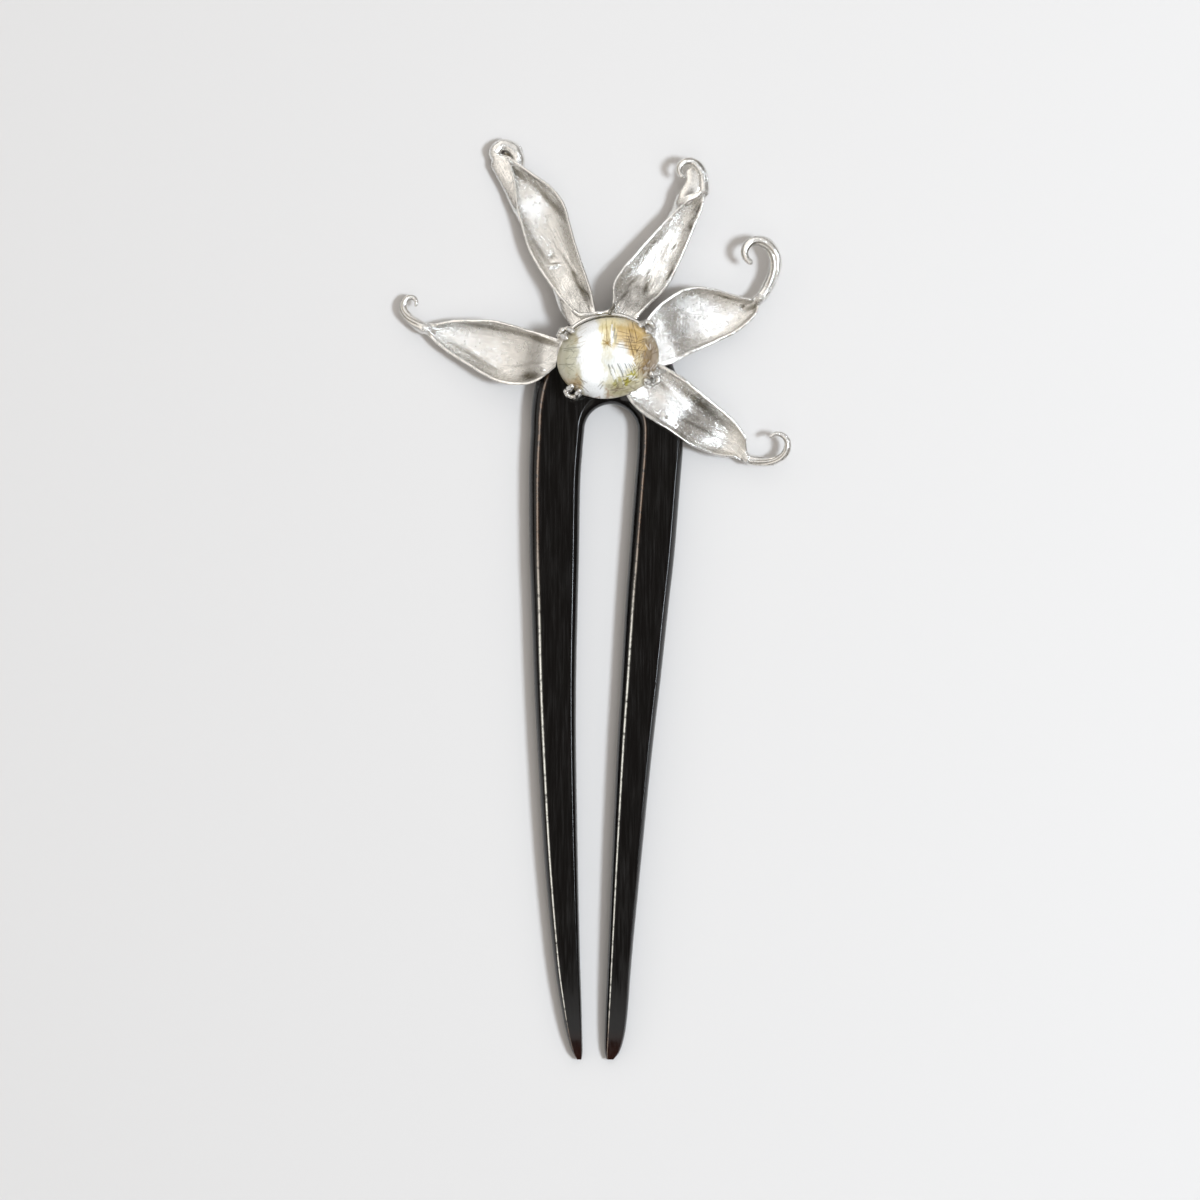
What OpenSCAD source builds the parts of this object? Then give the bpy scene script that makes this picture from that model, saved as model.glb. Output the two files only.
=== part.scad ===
/* [Fork] */
// Thickness of the fork over its head and the upper half of the prongs
fork_thickness = 4.4; // [4:0.1:4.7]
// Thickness that is left at the very tips
tip_thickness = 1.5; // [1:0.1:2.5]
// Half of the width of the head, where the prongs leave it
head_half_width = 12.15; // [11.8:0.05:12.5]
// How far the head reaches above the line where the prongs leave it
head_reach = 19; // [17.5:0.1:20]
// Radius of the round end of the slot between the prongs
slot_radius = 4.25; // [3.6:0.05:4.6]

/* [Stone] */
// Length of the oval stone
stone_length = 16.2; // [15:0.1:16.6]
// Width of the oval stone
stone_width = 12.8; // [12:0.1:13.2]
// Height of the dome above the girdle
dome_height = 4.7; // [3.6:0.1:5.5]
// Turn of the stone's long axis from the fork's cross direction
stone_turn = 8; // [4:1:12]

/* [Silver] */
// Wall thickness of the seed pods along their keels
pod_wall = 0.8; // [0.6:0.05:0.9]
// Wall thickness of the seed pods at their rims
rim_wall = 0.5; // [0.4:0.05:0.6]
// Thickness of the plate that the pods are soldered to
plate_thickness = 0.9; // [0.7:0.1:1.1]
// Radius of the gallery wire under the stone
gallery_radius = 0.45; // [0.35:0.05:0.5]
// Radius of a claw at its foot
claw_radius = 0.5; // [0.4:0.05:0.6]
// Diameter of the peg that holds the plate on the fork
peg_diameter = 2.4; // [1.8:0.1:3]

/* [Fit] */
// Gap between pieces that are glued or clasped together
fit_gap = 0.06; // [0.04:0.01:0.08]

/* [Hidden] */

// All places are measured from the point under the stone's middle, in mm,
// and the whole pin is then moved so that the origin lies under the middle of its box.
box_middle = [-2.13, -38.06];

// Number of points round each section of the fork, the pods and the stone
fork_sides = 20;
pod_steps = 8;
stone_sides = 28;
bead_sides = 10;

// Heights of what is stacked on the fork, from the plate up to the stone's widest line
plate_bottom = fork_thickness + fit_gap;
plate_top = plate_bottom + plate_thickness;
gallery_rise = 1.35;
gallery_height = plate_top + gallery_rise;
stone_bottom = gallery_height + gallery_radius + fit_gap;
girdle_rise = 0.7;
girdle_height = stone_bottom + girdle_rise;

// The heights in the tables hold for a plate with its top here. For another plate or fork the
// pods' bases are lifted with the plate, and their far ends stay where they are.
table_plate_top = 5.36;
stack_lift = plate_top - table_plate_top;

// Middle of the head's outline and of the slot's round end, and the exponent of the head's
// outline, a little squarer than an ellipse
head_middle = -0.15;
slot_middle = 0.5;
head_power = 2.2;
// Angle between two sections of the head
head_step = 10;
// Exponent of the rounded sides, and how much of the rounding the flat faces cut away
edge_power = 2.5;
flat_cut = 1.12;

// The prongs, one row for each section from the head to the tips:
// y, left outer edge, left inner edge, right inner edge, right outer edge, share of thickness
prong_rows = [
    [-11.3, -12.3, -3.75, 4.75, 12.0, 1],
    [-15, -12.5, -4.1, 4.65, 11.9, 1],
    [-20, -12.6, -4.4, 4.25, 11.5, 1],
    [-31, -12.5, -4.6, 3.4, 10.6, 0.99],
    [-39, -12.2, -4.8, 2.8, 9.7, 0.97],
    [-51, -11.8, -5.05, 2.1, 8.4, 0.95],
    [-63, -11.2, -5.05, 1.4, 7.0, 0.92],
    [-79, -10.2, -4.8, 0.65, 5.4, 0.86],
    [-95, -8.7, -4.45, 0, 3.85, 0.72],
    [-103, -7.5, -4.2, -0.35, 3.25, 0.58],
    [-107.5, -6.6, -4.1, -0.5, 2.7, 0.42],
    [-110.3, -5.75, -4.05, -0.5, 1.9, 0.2],
    [-111.6, -5.0, -4.2, -0.2, 0.95, 0]
];

// The seed pods. Each has the place and heading of its base, the length over which its open
// shell closes into the tendril, and rows along its length:
// along, left rim, right rim, height of left rim, height of right rim, depth, left bulge, right bulge
pod_left = [
    [-7.6, 1.2], 168.7, 2.4,
    [
        [0.2, 2.7, -1.9, 6.1, 6.2, 0.9, 0, 0],
        [2.6, 5.4, -2.2, 5.9, 5.9, 1.2, 0.2, 0.1],
        [5.4, 6.45, -2.4, 5.1, 5.3, 2.9, 0.4, 0.3],
        [8.4, 6.65, -2.7, 4.4, 4.8, 3.5, 0.4, 0.5],
        [11.2, 5.95, -2.85, 3.9, 4.4, 3.3, 0.4, 0.6],
        [14.4, 4.75, -2.4, 3.4, 3.8, 2.9, 0.3, 0.4],
        [17.6, 3.5, -1.75, 3.0, 3.2, 2.2, 0.2, 0.2],
        [20.2, 2.2, -0.8, 2.7, 2.8, 1.5, 0.1, 0],
        [22.2, 1.3, -0.3, 2.6, 2.7, 1.1, 0, 0]
    ]
];
pod_upper_left = [
    [-2.85, 6.6], 117, 1.4,
    [
        [-1.6, 1.1, -1.0, 6.5, 6.6, 1.0, 5.0, 0],
        [0.6, 1.5, -1.3, 6.3, 6.6, 1.4, 5.4, 0.2],
        [3.6, 2.3, -2.1, 5.7, 6.1, 2.4, 4.6, 0.4],
        [7.2, 3.15, -2.65, 4.7, 5.5, 3.4, 1.2, 0.4],
        [10.8, 3.65, -3.2, 4.0, 5.0, 3.5, 0.5, 0.4],
        [14.4, 3.7, -3.9, 3.5, 4.7, 3.2, 0.5, 0.4],
        [18, 3.0, -4.6, 3.3, 4.4, 3.0, 1.4, 0.3],
        [21.4, 2.1, -4.05, 3.1, 4.0, 2.4, 4.0, 0.2],
        [24.8, 0.8, -2.35, 2.9, 3.6, 2.1, 6.0, 0.2],
        [27, 0.35, -1.2, 2.9, 3.3, 1.9, 6.4, 0.2],
        [28.6, 0.2, -0.4, 2.9, 3.1, 1.8, 6.3, 0.2],
        [30, 0.2, 0.05, 2.8, 2.8, 1.7, 6.0, 0.2]
    ]
];
pod_upper = [
    [3.2, 7.2], 56.7, 1.6,
    [
        [-1.6, 2.2, -1.6, 6.5, 6.5, 1.0, 0, 0],
        [0.6, 3.3, -1.75, 6.3, 6.3, 1.4, 0.2, 0.2],
        [2.8, 4.55, -2.0, 5.7, 5.7, 2.2, 0.3, 0.3],
        [5.6, 4.7, -2.65, 5.0, 4.9, 3.0, 0.4, 0.4],
        [8.4, 4.35, -2.75, 4.5, 4.4, 3.1, 0.4, 0.3],
        [11.4, 3.95, -2.35, 4.2, 4.1, 3.0, 0.4, 0.3],
        [14.4, 3.45, -1.85, 4.0, 4.0, 2.8, 0.6, 0.3],
        [17.2, 2.75, -1.3, 4.0, 4.0, 2.6, 2.4, 0.2],
        [20, 2.0, -0.8, 4.1, 4.0, 2.3, 5.2, 0.2],
        [21.8, 1.25, -0.55, 4.2, 4.1, 2.2, 7.0, 0.1],
        [22.9, 0.75, -0.2, 4.2, 4.1, 2.2, 6.6, 0.1]
    ]
];
pod_right = [
    [7.95, 2.3], 25, 2.0,
    [
        [-1.4, 3.6, -3.5, 6.5, 6.4, 1.0, 0, 0],
        [0.6, 4.7, -3.75, 6.3, 6.1, 1.3, 0.2, 0.1],
        [2.4, 5.5, -3.65, 6.0, 5.7, 1.5, 0.3, 0.2],
        [4.8, 6.05, -3.5, 5.5, 4.9, 2.4, 0.5, 0.3],
        [7.2, 6.25, -3.5, 5.1, 4.3, 2.9, 0.6, 0.4],
        [9.6, 5.7, -3.5, 4.7, 3.9, 2.9, 0.5, 0.4],
        [12, 4.2, -3.45, 4.3, 3.7, 2.7, 0.3, 0.4],
        [14.4, 2.15, -2.95, 4.0, 3.6, 2.3, 0.2, 0.3],
        [16.4, 0.6, -2.1, 3.8, 3.6, 1.8, 0.1, 0.3],
        [18.2, 0.35, -0.8, 3.8, 3.6, 1.4, 0, 0.1]
    ]
];
pod_lower_right = [
    [5.9, -4.05], -34.3, 2.4,
    [
        [-1.4, 3.6, -3.3, 6.6, 6.6, 1.1, 0, 0],
        [0.4, 3.95, -3.85, 6.9, 6.7, 1.7, 0.1, 0.1],
        [2.6, 4.2, -4.1, 7.1, 6.8, 2.1, 0.1, 0.1],
        [5.2, 4.2, -4.05, 6.9, 6.6, 2.1, 0.2, 0.1],
        [7.8, 3.95, -3.95, 6.4, 5.9, 1.9, 0.3, 0.1],
        [10.4, 3.75, -3.95, 5.7, 4.9, 2.7, 0.3, 0.2],
        [13, 3.55, -3.55, 5.0, 4.0, 3.1, 0.3, 0.3],
        [15.6, 3.15, -2.85, 4.4, 3.4, 2.9, 0.2, 0.3],
        [18.2, 2.1, -1.55, 3.9, 3.1, 2.3, 0.1, 0.2],
        [20.2, 0.6, -1.0, 3.5, 3.0, 1.6, 0, 0.1]
    ]
];

// The tendrils, one row for each pod in the same order: start to the side, start height,
// end height, length, first heading from the pod's, turn, how late it turns,
// first radius, middle radius, end radius
tendril_rows = [
    [0.4, 2.0, 2.0, 9.0, -21, -310, 2.6, 0.95, 0.66, 0.25],
    [1.2, 1.7, 1.6, 8.4, 22, -258, 0.58, 0.9, 0.95, 1.25],
    [0.65, 3.3, 4.2, 10, 31, 275, 2.05, 0.92, 0.68, 0.45],
    [0.0, 2.9, 4.2, 16.5, 33, 310, 2.1, 0.9, 0.98, 0.45],
    [-0.5, 2.4, 3.8, 11.9, 23, 265, 2.05, 0.8, 0.66, 0.3]
];
tendril_steps = 18;
// Where the pods' rims meet on the tendrils, in degrees from the left side over the top, and
// how wide an arc they take there
plain_seam = [90, 180];
seams = [plain_seam, [130, 40], [95, 50], plain_seam, plain_seam];

// The wall that fills a hooded curl, a chain of flattened beads with one row for each:
// along, side, height, radius
web_upper_left = [[27.4, -0.2, 1.4, 0.9], [28.8, -0.4, 1.3, 1.0], [30, -0.5, 1.4, 0.75]];
web_upper = [[20.9, 2.3, 2.8, 1.3], [22.2, 2.4, 2.85, 1.42], [23.5, 3, 2.85, 1.35], [24.9, 4.5, 2.9, 1.1]];
web_flatness = 0.42;

function raised(value, power) = sign(value) * pow(abs(value), power);
function mix(a, b, share) = a + (b - a) * share;
function eased(share) = let (s = min(max(share, 0), 1)) s * s * (3 - 2 * s);
function along(angle, length) = [length * cos(angle), length * sin(angle)];

// A row between the rows of a table, on a smooth curve through them.
function row_at(rows, place) =
    let (
        last = len(rows) - 1,
        i = min(floor(place), last - 1),
        f = place - i,
        a = rows[max(i - 1, 0)],
        b = rows[i],
        c = rows[i + 1],
        d = rows[min(i + 2, last)]
    )
    b + 0.5 * f * ((c - a) + f * ((2 * a - 5 * b + 4 * c - d) + f * (3 * (b - c) + d - a)));

// Faces of a skin over equal rings of points, closed by a strip at either end.
function skin_faces(rings, sides) = concat(
    [for (i = [0:rings - 2], j = [0:sides - 1])
        [i * sides + j, i * sides + (j + 1) % sides, (i + 1) * sides + (j + 1) % sides]],
    [for (i = [0:rings - 2], j = [0:sides - 1])
        [i * sides + j, (i + 1) * sides + (j + 1) % sides, (i + 1) * sides + j]],
    [for (j = [0:sides / 2 - 2]) [j, sides - 2 - j, j + 1]],
    [for (j = [0:sides / 2 - 2]) [j, sides - 1 - j, sides - 2 - j]],
    [for (j = [0:sides / 2 - 2], k = (rings - 1) * sides) [k + j, k + j + 1, k + sides - 2 - j]],
    [for (j = [0:sides / 2 - 2], k = (rings - 1) * sides) [k + j, k + sides - 2 - j, k + sides - 1 - j]]
);

module skin(rings) {
    polyhedron(
        points = [for (ring = rings) each ring],
        faces = skin_faces(len(rings), len(rings[0])),
        convexity = 8
    );
}

// One section of the fork between two points of its outline, with flat faces and round sides.
function fork_ring(outer, inner, thickness) = [
    for (k = [0:fork_sides - 1])
        let (
            angle = 360 * (k + 0.5) / fork_sides,
            across = raised(cos(angle), 2 / edge_power),
            up = flat_cut * raised(sin(angle), 2 / edge_power),
            place = (outer + inner) / 2 + (inner - outer) / 2 * across
        )
        [place.x, place.y, thickness / 2 * (1 + min(max(up, -1), 1))]
];

function prong_thickness(share) = mix(tip_thickness, fork_thickness, share);

// The head turns round the slot's end from 180 to 0 degrees.
function head_ring(angle) =
    let (
        start = prong_rows[0][0],
        x = head_middle + head_half_width * raised(cos(angle), 2 / head_power),
        y = start + head_reach * raised(sin(angle), 2 / head_power)
    )
    fork_ring([x, y], [slot_middle, start] + along(angle, slot_radius), fork_thickness);

function fork_rings() =
    let (last = len(prong_rows) - 1)
    concat(
        [for (i = [2 * last:-1:1])
            let (r = row_at(prong_rows, i / 2))
            fork_ring([r[1], r[0]], [r[2], r[0]], prong_thickness(r[5]))],
        [for (angle = [180:-head_step:0]) head_ring(angle)],
        [for (i = [1:2 * last])
            let (r = row_at(prong_rows, i / 2))
            fork_ring([r[4], r[0]], [r[3], r[0]], prong_thickness(r[5]))]
    );

// A pod's section: the outer wall runs from the left rim under the pod to the right rim,
// and the inner wall comes back, both as curves of four control points. The inner wall bulges
// less where the pod is shallow, and the rims are thinner where they come together.
function wall_point(r, share, rim, wall) =
    let (
        drop = 4 / 3 * (r[5] - wall),
        bulging = 1 - wall / r[5],
        p0 = [r[1] - rim, r[3]],
        p1 = [r[1] + r[6] * bulging - wall, r[3] - drop],
        p2 = [r[2] - r[7] * bulging + wall, r[4] - drop],
        p3 = [r[2] + rim, r[4]],
        t = 1 - share
    )
    t * t * t * p0 + 3 * t * t * share * p1 + 3 * t * share * share * p2 + pow(share, 3) * p3;

function shell_section(r) =
    let (rim = min(rim_wall, 0.4 * (r[1] - r[2])))
    concat(
        [for (j = [0:pod_steps]) wall_point(r, j / pod_steps, 0, 0)],
        [for (j = [0:pod_steps]) wall_point(r, 1 - j / pod_steps, rim, pod_wall)]
    );

// A tendril's section round a middle given as side and height. The outer wall goes on round it
// from one side of the seam to the other, and the inner wall closes over the seam.
function rod_section(middle, radius, seam) =
    let (sides = pod_steps + 1, start = seam[0] - seam[1] / 2)
    [
        for (k = [0:2 * sides - 1])
            let (
                angle = k < sides
                    ? start - (360 - seam[1]) * (k + 0.5) / sides
                    : start - 360 + seam[1] * (2 * sides - k - 0.5) / sides
            )
            middle + along(angle, radius)
    ];

// A section of side and height points, stood up at a place across a heading.
function stood(section, place, heading) = [
    for (p = section) let (q = place + along(heading + 90, p[0])) [q.x, q.y, p[1]]
];

function pod_rings(pod, tendril, seam) =
    let (base = pod[0], heading = pod[1], rows = pod[3], last = len(rows) - 1)
    [
        for (i = [0:2 * last])
            let (
                lift = stack_lift * (1 - i / (2 * last)),
                r = row_at(rows, i / 2) + lift * [0, 0, 0, 1, 1, 0, 0, 0],
                closing = eased(1 - (rows[last][0] - r[0]) / pod[2]),
                rod = rod_section([tendril[0], tendril[1]], tendril[7], seam)
            )
            stood(mix(shell_section(r), rod, closing), base + along(heading, r[0]), heading)
    ];

function tendril_radius(t, share) =
    share < 0.5 ? mix(t[7], t[8], share * 2) : mix(t[8], t[9], share * 2 - 1);

// A tendril goes on from its pod, and turns more and more tightly towards its end.
function tendril_rings(pod, t, seam) =
    let (
        last_row = pod[3][len(pod[3]) - 1],
        start = pod[0] + along(pod[1], last_row[0]) + along(pod[1] + 90, t[0]),
        step = t[3] / tendril_steps
    )
    [
        for (
            i = 1,
            turned = pod[1] + t[4] * 0.5,
            place = start + along(turned, step);
            i <= tendril_steps;
            i = i + 1,
            turned = pod[1] + t[4] + t[5] * pow((i - 0.5) / tendril_steps, t[6]),
            place = place + along(turned, step)
        )
            let (
                share = i / tendril_steps,
                height = mix(t[1], t[2], eased(share)),
                seam_here = mix(seam, plain_seam, min(2 * share, 1)),
                section = rod_section([0, height], tendril_radius(t, share), seam_here)
            )
            stood(section, place, turned)
    ];

module pod_with_tendril(pod, tendril, seam) {
    skin(concat(pod_rings(pod, tendril, seam), tendril_rings(pod, tendril, seam)));
}

module flat_bead(pod, row) {
    place = pod[0] + along(pod[1], row[0]) + along(pod[1] + 90, row[1]);
    translate([place.x, place.y, row[2]])
        scale([1, 1, web_flatness])
            sphere(r = row[3], $fn = 16);
}

module web(pod, rows) {
    for (i = [1:len(rows) - 1])
        hull() {
            flat_bead(pod, rows[i - 1]);
            flat_bead(pod, rows[i]);
        }
}

// A point on the stone's dome, or lifted off it along its surface normal.
function dome_point(angle, rise, lift) =
    let (
        a = stone_length / 2,
        b = stone_width / 2,
        on = [a * cos(angle) * cos(rise), b * sin(angle) * cos(rise), dome_height * sin(rise)],
        out = [on.x / (a * a), on.y / (b * b), on.z / (dome_height * dome_height)]
    )
    on + out / norm(out) * lift + [0, 0, girdle_height];

// The claws: angle round the stone of each of the four pairs, half the angle between the two
// of a pair, and the angles up the dome at which a claw bends
claw_angles = [36, 136, 222, 320];
claw_spread = 5.5;
claw_rises = [0, 10, 20, 29];
claw_tip_radius = 0.4;
// How far out the claws stand on the plate, as a share of the stone, and how deep in it
claw_foot_share = 0.62;
claw_foot_depth = 0.2;

module bead(place, radius) {
    translate(place) sphere(r = radius, $fn = bead_sides);
}

// A claw stands on the plate, rises past the girdle and lies on the dome.
module claw(angle) {
    lift = claw_tip_radius + fit_gap;
    under = dome_point(angle, 0, 0) * claw_foot_share;
    foot = [under.x, under.y, plate_top - claw_foot_depth];
    girdle = dome_point(angle, claw_rises[0], lift);
    elbow = [girdle.x, girdle.y, gallery_height];
    hull() {
        bead(foot, claw_radius);
        bead(elbow, claw_radius);
    }
    hull() {
        bead(elbow, claw_radius);
        bead(girdle, claw_tip_radius);
    }
    for (i = [1:len(claw_rises) - 1])
        hull() {
            bead(dome_point(angle, claw_rises[i - 1], lift), claw_tip_radius);
            bead(dome_point(angle, claw_rises[i], lift), claw_tip_radius);
        }
}

module claws() {
    rotate(stone_turn)
        for (angle = claw_angles, side = [-1, 1]) claw(angle + side * claw_spread);
}

// The gallery wire is an oval ring, set off a little towards the upper left pods.
gallery_offset = [-0.20, 0.77];
gallery_half_length = 7.5;
gallery_half_width = 6.1;

module gallery() {
    translate([gallery_offset.x, gallery_offset.y, gallery_height])
        rotate(stone_turn)
            scale([gallery_half_length / gallery_half_width, 1, 1])
                rotate_extrude($fn = 40)
                    translate([gallery_half_width, 0]) circle(r = gallery_radius, $fn = 8);
}

// The plate is an oval like the stone, smaller by this share.
plate_share = 0.76;

module plate() {
    translate([0, 0, plate_bottom])
        linear_extrude(plate_thickness)
            rotate(stone_turn)
                scale(plate_share * [stone_length / stone_width, 1])
                    circle(d = stone_width, $fn = 48);
}

// Short solder bars that tie the pods' rims to the gallery, given by both ends, and the radius
// at each end
solder_radii = [0.5, 0.45];
solder_bars = [
    [[-8.6, 2.6, 6.0], [-6.9, 2.9, 6.7]],
    [[-8.67, -1.24, 5.95], [-7.2, -2.2, 6.7]],
    [[-3.65, 6.3, 6.15], [-2.2, 5.6, 6.6]]
];

module solder_bar(ends) {
    translate([0, 0, stack_lift])
        hull() {
            bead(ends[0], solder_radii[0]);
            bead(ends[1], solder_radii[1]);
        }
}

// The peg stands in a blind bore in the fork and in a shallow socket in the plate. Both are
// wider than the peg by the gap, and deeper too.
peg_depth = 2.8;
peg_socket = 0.5;

module peg_round(radial_gap, bottom, top) {
    translate([0, 0, bottom])
        cylinder(d = peg_diameter + 2 * radial_gap, h = top - bottom, $fn = 48);
}

// Moves what is modelled round the stone to the middle of the pin's box.
module placed() {
    translate([-box_middle.x, -box_middle.y, 0]) children();
}

module fork() {
    color("#1c1a18")
        placed()
            difference() {
                skin(fork_rings());
                peg_round(fit_gap, fork_thickness - peg_depth, plate_top);
            }
}

module peg() {
    color("#b9b6b0")
        placed()
            peg_round(0, fork_thickness - peg_depth + fit_gap, fork_thickness + peg_socket);
}

module silver_spray() {
    pods = [pod_left, pod_upper_left, pod_upper, pod_right, pod_lower_right];
    color("#d9d8d4")
        placed()
            difference() {
                union() {
                    plate();
                    gallery();
                    claws();
                    for (ends = solder_bars) solder_bar(ends);
                    for (i = [0:len(pods) - 1])
                        pod_with_tendril(pods[i], tendril_rows[i], seams[i]);
                    web(pod_upper_left, web_upper_left);
                    web(pod_upper, web_upper);
                }
                peg_round(fit_gap, fork_thickness, fork_thickness + peg_socket + fit_gap);
            }
}

// One ring of the stone: its share of the full oval, and its height
function stone_ring(share, height) = [
    for (k = [stone_sides - 1:-1:0])
        let (angle = 360 * (k + 0.5) / stone_sides)
        [
            share * stone_length / 2 * cos(angle),
            share * stone_width / 2 * sin(angle),
            height
        ]
];

// Share of the oval at the stone's flat bottom and at the top facet
bottom_share = 0.9;
top_share = 0.04;
dome_step = 9;

module stone() {
    dome = [
        for (rise = [0:dome_step:90 - dome_step])
            stone_ring(cos(rise), girdle_height + dome_height * sin(rise))
    ];
    color("#d8c48a")
        placed()
            rotate(stone_turn)
                skin(concat(
                    [stone_ring(bottom_share, stone_bottom)],
                    dome,
                    [stone_ring(top_share, girdle_height + dome_height)]
                ));
}

fork();
peg();
silver_spray();
stone();
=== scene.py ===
import bpy
import numpy as np
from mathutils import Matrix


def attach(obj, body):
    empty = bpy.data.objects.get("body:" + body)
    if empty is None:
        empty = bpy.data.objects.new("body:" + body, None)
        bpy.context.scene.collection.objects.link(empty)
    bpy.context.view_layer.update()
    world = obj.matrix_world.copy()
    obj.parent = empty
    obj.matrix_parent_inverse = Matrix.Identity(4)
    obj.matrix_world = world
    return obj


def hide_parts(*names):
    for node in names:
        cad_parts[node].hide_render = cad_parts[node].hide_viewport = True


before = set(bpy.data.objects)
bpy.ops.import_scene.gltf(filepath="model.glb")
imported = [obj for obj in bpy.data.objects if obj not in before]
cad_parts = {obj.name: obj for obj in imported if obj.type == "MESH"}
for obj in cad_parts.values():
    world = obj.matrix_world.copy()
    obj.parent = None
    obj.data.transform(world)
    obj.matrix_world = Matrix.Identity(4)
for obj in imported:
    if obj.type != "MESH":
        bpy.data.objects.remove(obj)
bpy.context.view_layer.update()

print("frame loaded")

# Everything is worked out in mm from the point under the stone's middle, and makeSkin moves it
# to the frame's origin and turns it into metres.
boxMiddle = np.array([-2.13, -38.06, 0.0])
metresPerMm = 0.001

# The heights of what is stacked on the fork, in mm
heights = {
    "plateTop": 5.36,
    "gallery": 6.71,
    "stoneBottom": 7.22,
    "girdle": 7.92,
}


def mix(a, b, share):
    return a + (b - a) * share


def eased(share):
    # 3s^2 - 2s^3, with s kept between 0 and 1
    s = np.clip(share, 0, 1)
    return s * s * (3 - 2 * s)


def raised(value, power):
    # |value|^power with the sign of value
    return np.sign(value) * np.abs(value) ** power


def quarterCircle(share, least=0.0):
    # sqrt(1 - (1 - s)^2), with s kept between 0 and 1, and what is under the root above least
    s = np.clip(share, 0, 1)
    return np.sqrt(np.clip(1 - (1 - s) ** 2, least, 1))


def towards(degrees):
    # (cos, sin) of an angle, as the last axis
    angle = np.radians(degrees)
    return np.stack([np.cos(angle), np.sin(angle)], axis=-1)


def anglesRound(steps):
    # The angles in degrees of evenly spread places round a ring, half a step off 0
    return 360 * (np.arange(steps) + 0.5) / steps


def joined(*parts):
    # Arrays of x, y and z as one array of points
    return np.stack(np.broadcast_arrays(*parts), -1)


def unit(vectors):
    return vectors / np.linalg.norm(vectors, axis=-1, keepdims=True)


def wayGone(path):
    # How far each point of a path is along it
    return np.concatenate([[0], np.cumsum(np.linalg.norm(np.diff(path, axis=0), axis=1))])


def rowAt(rows, place):
    # The Catmull-Rom curve through the rows: b + f/2 ((c - a) + f ((2a - 5b + 4c - d)
    # + f (3(b - c) + d - a))), with f the share of the way from row b to row c
    rows = np.asarray(rows, float)
    last = len(rows) - 1
    i = np.clip(np.floor(place).astype(int), 0, last - 1)
    f = (place - i)[:, None]
    a, b, c, d = rows[np.maximum(i - 1, 0)], rows[i], rows[i + 1], rows[np.minimum(i + 2, last)]
    return b + 0.5 * f * ((c - a) + f * ((2 * a - 5 * b + 4 * c - d) + f * (3 * (b - c) + d - a)))


def ripple(u, v, size, seed, waves=28):
    # The sum of cos(k.(u, v) + phase) over the waves, divided by sqrt(waves / 2): the wave
    # vectors k point every way, and their lengths lie round 2 pi / size
    rng = np.random.default_rng(seed)
    way = rng.uniform(0, 2 * np.pi, waves)
    length = 2 * np.pi / size * rng.uniform(0.55, 1.45, waves)
    phase = rng.uniform(0, 2 * np.pi, waves)
    total = np.zeros(np.broadcast(u, v).shape)
    for k in range(waves):
        total += np.cos(length[k] * (u * np.cos(way[k]) + v * np.sin(way[k])) + phase[k])
    return total / np.sqrt(waves / 2)


def hills(u, v, rows):
    # The sum of height * exp(-(du / half length)^2 - (dv / half width)^2) over the rows, with
    # du and dv measured along and across each hill's own direction
    total = np.zeros(np.broadcast(u, v).shape)
    for middleU, middleV, halfLength, halfWidth, turn, height in rows:
        c, s = towards(turn)
        along = (u - middleU) * c + (v - middleV) * s
        across = (v - middleV) * c - (u - middleU) * s
        total += height * np.exp(-((along / halfLength) ** 2) - (across / halfWidth) ** 2)
    return total


def addObject(name, data):
    made = bpy.data.objects.new(name, data)
    bpy.context.scene.collection.objects.link(made)
    return made


def makeSkin(name, rings, material, marks=None):
    # A closed skin over rings of points, (rings, sides, 3) in mm, joined by four-sided faces.
    # Each end is closed by a strip between the two halves of its ring. marks are point
    # attributes, each (rings, sides).
    count, sides = rings.shape[:2]
    i, j = np.meshgrid(np.arange(count - 1), np.arange(sides), indexing="ij")
    k = (j + 1) % sides
    quads = np.stack([i * sides + j, i * sides + k, (i + 1) * sides + k, (i + 1) * sides + j], -1)
    a = np.arange(sides // 2 - 1)
    cap = np.stack([a, sides - 1 - a, sides - 2 - a, a + 1], -1)
    faces = np.vstack([quads.reshape(-1, 4), cap, cap[:, ::-1] + (count - 1) * sides])
    points = rings.reshape(-1, 3)
    p, q, r, s = (points[faces[:, n]] for n in range(4))
    volume = np.sum(np.cross(q - p, r - p) * p) + np.sum(np.cross(r - p, s - p) * p)
    if volume < 0:
        faces = faces[:, ::-1]
    mesh = bpy.data.meshes.new(name)
    mesh.from_pydata(((points - boxMiddle) * metresPerMm).tolist(), [], faces.tolist())
    mesh.shade_smooth()
    for mark, values in (marks or {}).items():
        data = mesh.attributes.new(mark, "FLOAT", "POINT").data
        data.foreach_set("value", np.ascontiguousarray(values, np.float32).ravel())
    mesh.materials.append(material)
    return addObject(name, mesh)


def tubeRings(path, radius, sides=24, flatten=1.0):
    # Circles round a path, (points, 3): middle + radius (cos a * n + flatten sin a * m), where n
    # is level and m is square to n and to the path; the radius falls to 0 as a quarter circle
    # within one radius of either end
    ahead = unit(np.gradient(path, axis=0))
    level = np.cross([0, 0, 1.0], ahead)
    weak = np.linalg.norm(level, axis=1) < 0.05
    level[weak] = level[~weak][0] if (~weak).any() else [1, 0, 0]
    level = unit(level)
    up = np.cross(ahead, level)
    gone = wayGone(path)
    end = np.minimum(gone, gone[-1] - gone) / np.maximum(radius, 1e-6)
    rounded = radius * quarterCircle(end, 1e-4)
    c, s = towards(anglesRound(sides)).T
    ring = level[:, None] * c[:, None] + up[:, None] * flatten * s[:, None]
    return path[:, None] + rounded[:, None, None] * ring


def smoothPath(points, steps):
    # steps points on the Catmull-Rom curve through a few points
    return rowAt(points, np.linspace(0, len(points) - 1, steps))


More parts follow.
